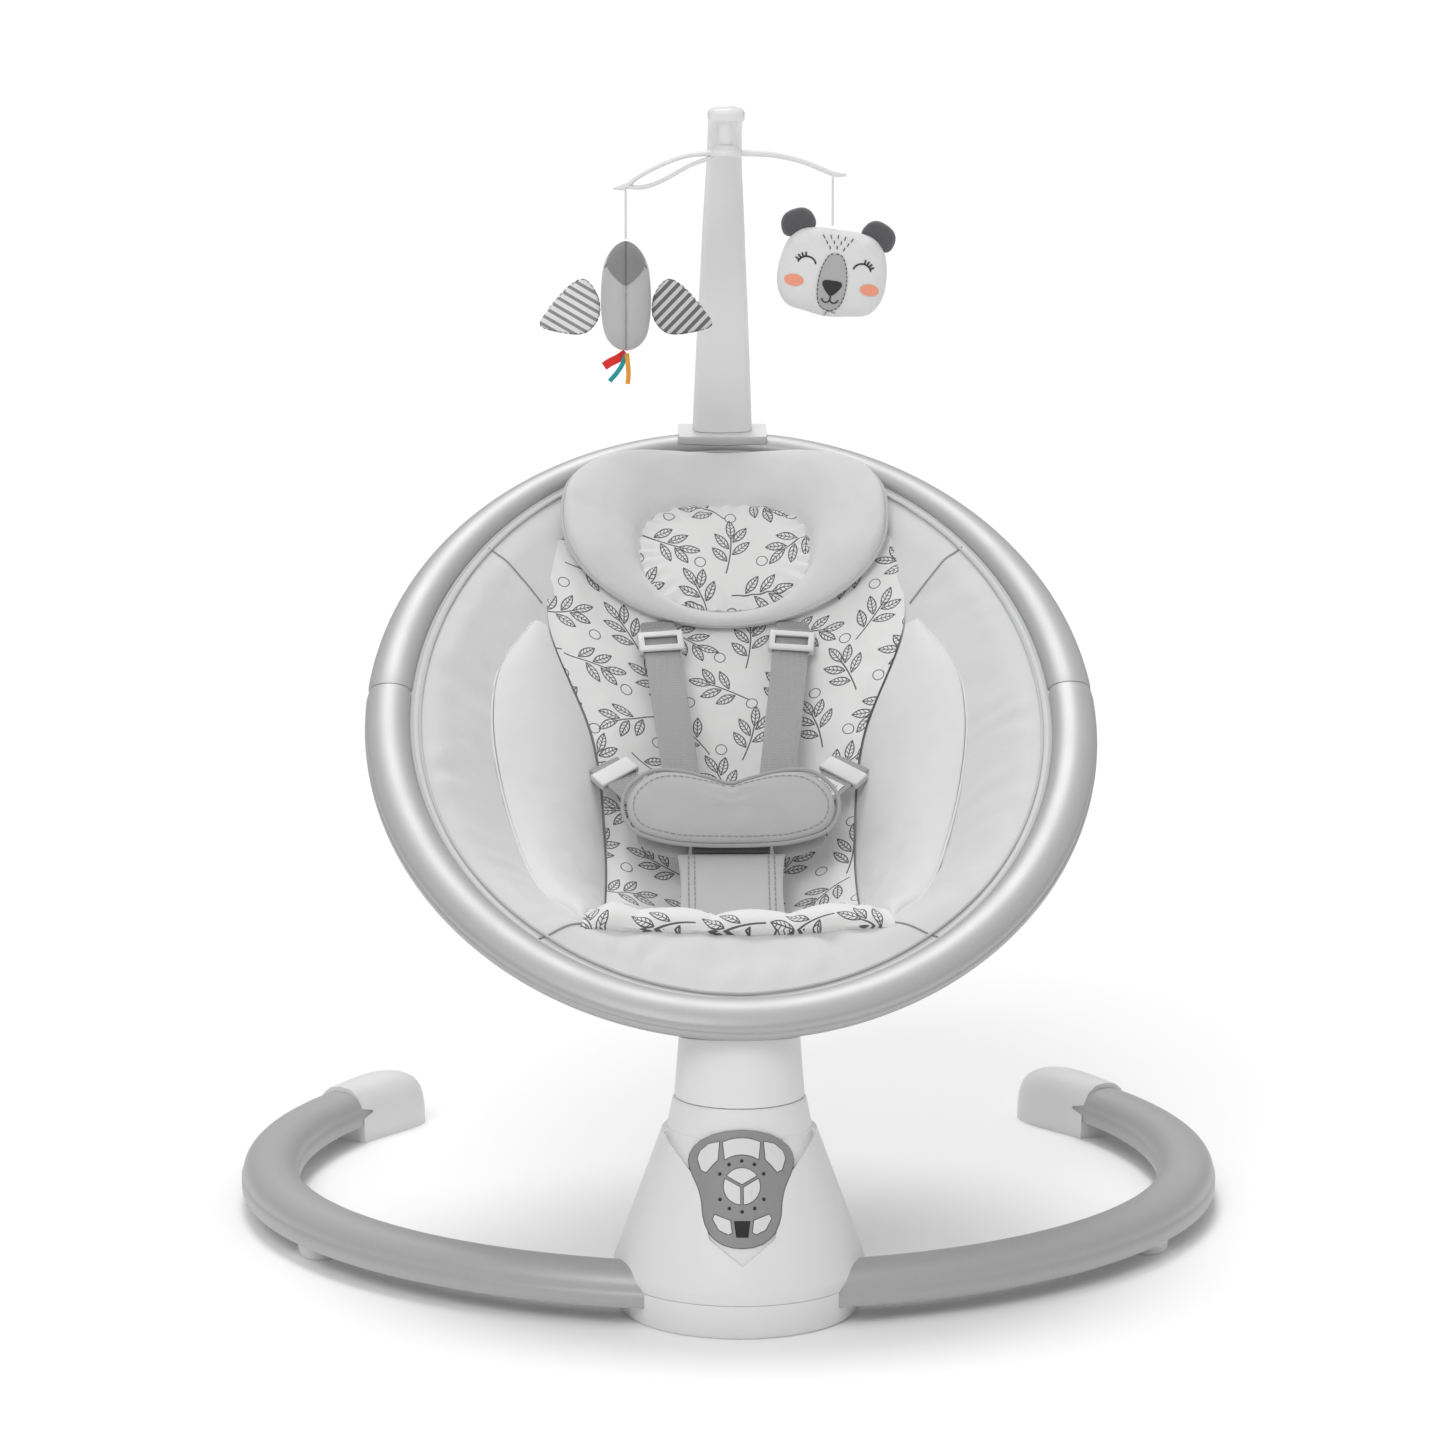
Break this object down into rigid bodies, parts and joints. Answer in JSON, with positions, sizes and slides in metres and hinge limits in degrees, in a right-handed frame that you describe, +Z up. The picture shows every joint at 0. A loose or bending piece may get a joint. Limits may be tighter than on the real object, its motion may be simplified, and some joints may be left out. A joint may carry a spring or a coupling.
{
  "type": "baby swing",
  "caption": "Electric baby swing: padded sling seat in a tilted oval hoop that sways on a cone-shaped housing with a C-shaped floor tube, with harness, control panel and toy mobile.",
  "frame": {"origin": "centre of the base plate's underside, on the floor", "axes": "+Z up, +Y from the control panel to the back of the swing, +X to the right of someone who faces the control panel"},
  "size_m": [0.6686, 0.5829, 0.7422],
  "materials": {
    "white_plastic": "satin white",
    "silver_tube": "satin silver-grey",
    "dark_plastic": "dark grey",
    "panel_plastic": "grey",
    "button_plastic": "light grey",
    "display_window": "glossy black",
    "light_guide": "clear white",
    "circuit_board": "green lacquer",
    "steel": "turned",
    "coil_copper": "copper coloured winding",
    "grey_fabric": "light grey weave",
    "pale_fabric": "pale grey weave",
    "printed_fabric": "white with thin dark leaf sprigs and small rings",
    "webbing": "grey webbing",
    "slider_plastic": "pale grey",
    "pad_fabric": "mid grey weave",
    "string": "white cord",
    "bird_plush": "grey plush with a darker face",
    "striped_fabric": "grey and white stripes",
    "ribbon": "red, teal and orange ribbons",
    "bear_plush": "white plush with dark grey felt ears"
  },
  "bodies": {
    "stand": {"base_plate": "white_plastic", "housing_front_cover": "white_plastic", "housing_rear_cover": "white_plastic", "neck_shell": "white_plastic", "left_base_tube": "silver_tube", "right_base_tube": "silver_tube", "left_end_cap": "white_plastic", "right_end_cap": "white_plastic", "left_foot": "white_plastic", "right_foot": "white_plastic", "control_panel": "panel_plastic", "led_light_guide": "light_guide", "display_window": "display_window", "circuit_board": "circuit_board", "power_inlet": "dark_plastic", "drive_coil": "coil_copper", "bearing_tube": "dark_plastic", "upper_bearing": "steel", "lower_bearing": "steel"},
    "seat": {"pivot_shaft": "steel", "drive_magnet_arm": "dark_plastic", "swing_carrier": "dark_plastic", "hoop_lower_tube": "silver_tube", "hoop_upper_tube": "silver_tube", "arm_clamp": "white_plastic", "seat_sling": "grey_fabric", "seat_liner": "printed_fabric", "wing_left": "pale_fabric", "wing_right": "pale_fabric", "head_pillow": "pale_fabric", "pillow_insert": "printed_fabric", "shoulder_strap_left": "webbing", "shoulder_strap_right": "webbing", "waist_strap_left": "webbing", "waist_strap_right": "webbing", "waist_keeper_left": "slider_plastic", "waist_keeper_right": "slider_plastic", "belly_pad": "pad_fabric", "crotch_pad": "pad_fabric", "buckle_body": "dark_plastic"},
    "upper_left_button": {"button_upper_left": "button_plastic"},
    "upper_middle_button": {"button_upper_middle": "button_plastic"},
    "upper_right_button": {"button_upper_right": "button_plastic"},
    "dial_top_button": {"button_dial_top": "button_plastic"},
    "dial_left_button": {"button_dial_left": "button_plastic"},
    "dial_right_button": {"button_dial_right": "button_plastic"},
    "lower_left_button": {"button_lower_left": "button_plastic"},
    "lower_right_button": {"button_lower_right": "button_plastic"},
    "left_slider": {"shoulder_slider_left": "slider_plastic"},
    "right_slider": {"shoulder_slider_right": "slider_plastic"},
    "release_button": {"buckle_button": "button_plastic"},
    "arm": {"toy_arm": "white_plastic"},
    "mobile": {"mobile_hub_bar": "white_plastic"},
    "left_string": {"bird_string": "string"},
    "right_string": {"bear_string": "string"},
    "bird": {"bird_body": "bird_plush", "bird_wing_left": "striped_fabric", "bird_wing_right": "striped_fabric", "bird_ribbons": "ribbon"},
    "bear": {"bear_head": "bear_plush"}
  },
  "joints": [
    {"name": "seat_swing", "type": "hinge", "parent": "stand", "child": "seat", "pos_m": [0, 0, 0.1712], "axis": [0, 0.1392, 0.9903], "range_deg": [-14, 14]},
    {"name": "press_upper_left", "type": "slide", "parent": "stand", "child": "upper_left_button", "axis": [0, 0.9449, -0.3272], "range_m": [0, 0.0012], "stiffness_N_per_m": 300},
    {"name": "press_upper_middle", "type": "slide", "parent": "stand", "child": "upper_middle_button", "axis": [0, 0.9449, -0.3272], "range_m": [0, 0.0012], "stiffness_N_per_m": 300},
    {"name": "press_upper_right", "type": "slide", "parent": "stand", "child": "upper_right_button", "axis": [0, 0.9449, -0.3272], "range_m": [0, 0.0012], "stiffness_N_per_m": 300},
    {"name": "press_dial_top", "type": "slide", "parent": "stand", "child": "dial_top_button", "axis": [0, 0.9449, -0.3272], "range_m": [0, 0.0012], "stiffness_N_per_m": 300},
    {"name": "press_dial_left", "type": "slide", "parent": "stand", "child": "dial_left_button", "axis": [0, 0.9449, -0.3272], "range_m": [0, 0.0012], "stiffness_N_per_m": 300},
    {"name": "press_dial_right", "type": "slide", "parent": "stand", "child": "dial_right_button", "axis": [0, 0.9449, -0.3272], "range_m": [0, 0.0012], "stiffness_N_per_m": 300},
    {"name": "press_lower_left", "type": "slide", "parent": "stand", "child": "lower_left_button", "axis": [0, 0.9449, -0.3272], "range_m": [0, 0.0012], "stiffness_N_per_m": 300},
    {"name": "press_lower_right", "type": "slide", "parent": "stand", "child": "lower_right_button", "axis": [0, 0.9449, -0.3272], "range_m": [0, 0.0012], "stiffness_N_per_m": 300},
    {"name": "adjust_left_shoulder", "type": "slide", "parent": "seat", "child": "left_slider", "axis": [0.1019, -0.7824, -0.6144], "range_m": [0, 0.06]},
    {"name": "adjust_right_shoulder", "type": "slide", "parent": "seat", "child": "right_slider", "axis": [-0.1019, -0.7824, -0.6144], "range_m": [0, 0.06]},
    {"name": "press_buckle_release", "type": "slide", "parent": "seat", "child": "release_button", "axis": [0, 0.8387, -0.5446], "range_m": [0, 0.0025], "stiffness_N_per_m": 300},
    {"name": "lift_off_arm", "type": "slide", "parent": "seat", "child": "arm", "axis": [0, -0.2924, 0.9563], "range_m": [0, 0.045]},
    {"name": "turn_mobile", "type": "hinge", "parent": "arm", "child": "mobile", "pos_m": [0, 0.345, 0.712], "axis": [0, 0, 1], "range_deg": [-40, 40]},
    {"name": "sway_bird", "type": "hinge", "parent": "mobile", "child": "left_string", "pos_m": [-0.069, 0.345, 0.686], "axis": [1, 0, 0], "range_deg": [-18, 18]},
    {"name": "turn_bird", "type": "hinge", "parent": "left_string", "child": "bird", "pos_m": [-0.069, 0.345, 0.6525], "axis": [0, 0, 1], "range_deg": [-45, 45]},
    {"name": "sway_bear", "type": "hinge", "parent": "mobile", "child": "right_string", "pos_m": [0.073, 0.345, 0.695], "axis": [1, 0, 0], "range_deg": [-18, 18]},
    {"name": "turn_bear", "type": "hinge", "parent": "right_string", "child": "bear", "pos_m": [0.073, 0.345, 0.6615], "axis": [0, 0, 1], "range_deg": [-45, 45]}
  ]
}
